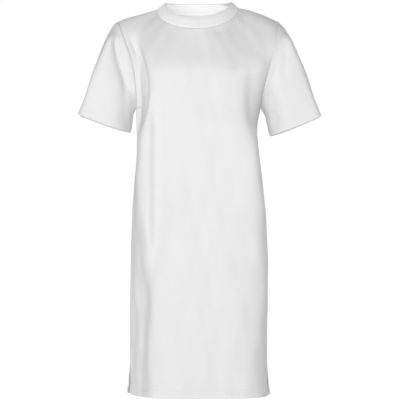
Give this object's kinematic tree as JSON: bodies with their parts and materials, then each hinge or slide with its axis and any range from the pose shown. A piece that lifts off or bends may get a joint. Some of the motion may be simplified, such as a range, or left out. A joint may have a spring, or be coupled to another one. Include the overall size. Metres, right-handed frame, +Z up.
{
  "type": "t-shirt dress",
  "caption": "Knee-length cotton jersey t-shirt dress, crew neck band, short wide sleeves, turned hems and side vents, hollow as worn.",
  "frame": {"origin": "midway between the two high shoulder points, where the wearer's shoulders carry the dress", "axes": "+Z up along the dress, -Y out of the front, +X to the right as the front is seen"},
  "size_m": [0.623, 0.2709, 1.0201],
  "materials": {
    "jersey": "matte cotton jersey",
    "rib": "matte cotton rib"
  },
  "bodies": {
    "root": {"front": "jersey", "back": "jersey", "sleeve_left": "jersey", "sleeve_right": "jersey", "neck_band": "rib"}
  },
  "joints": []
}
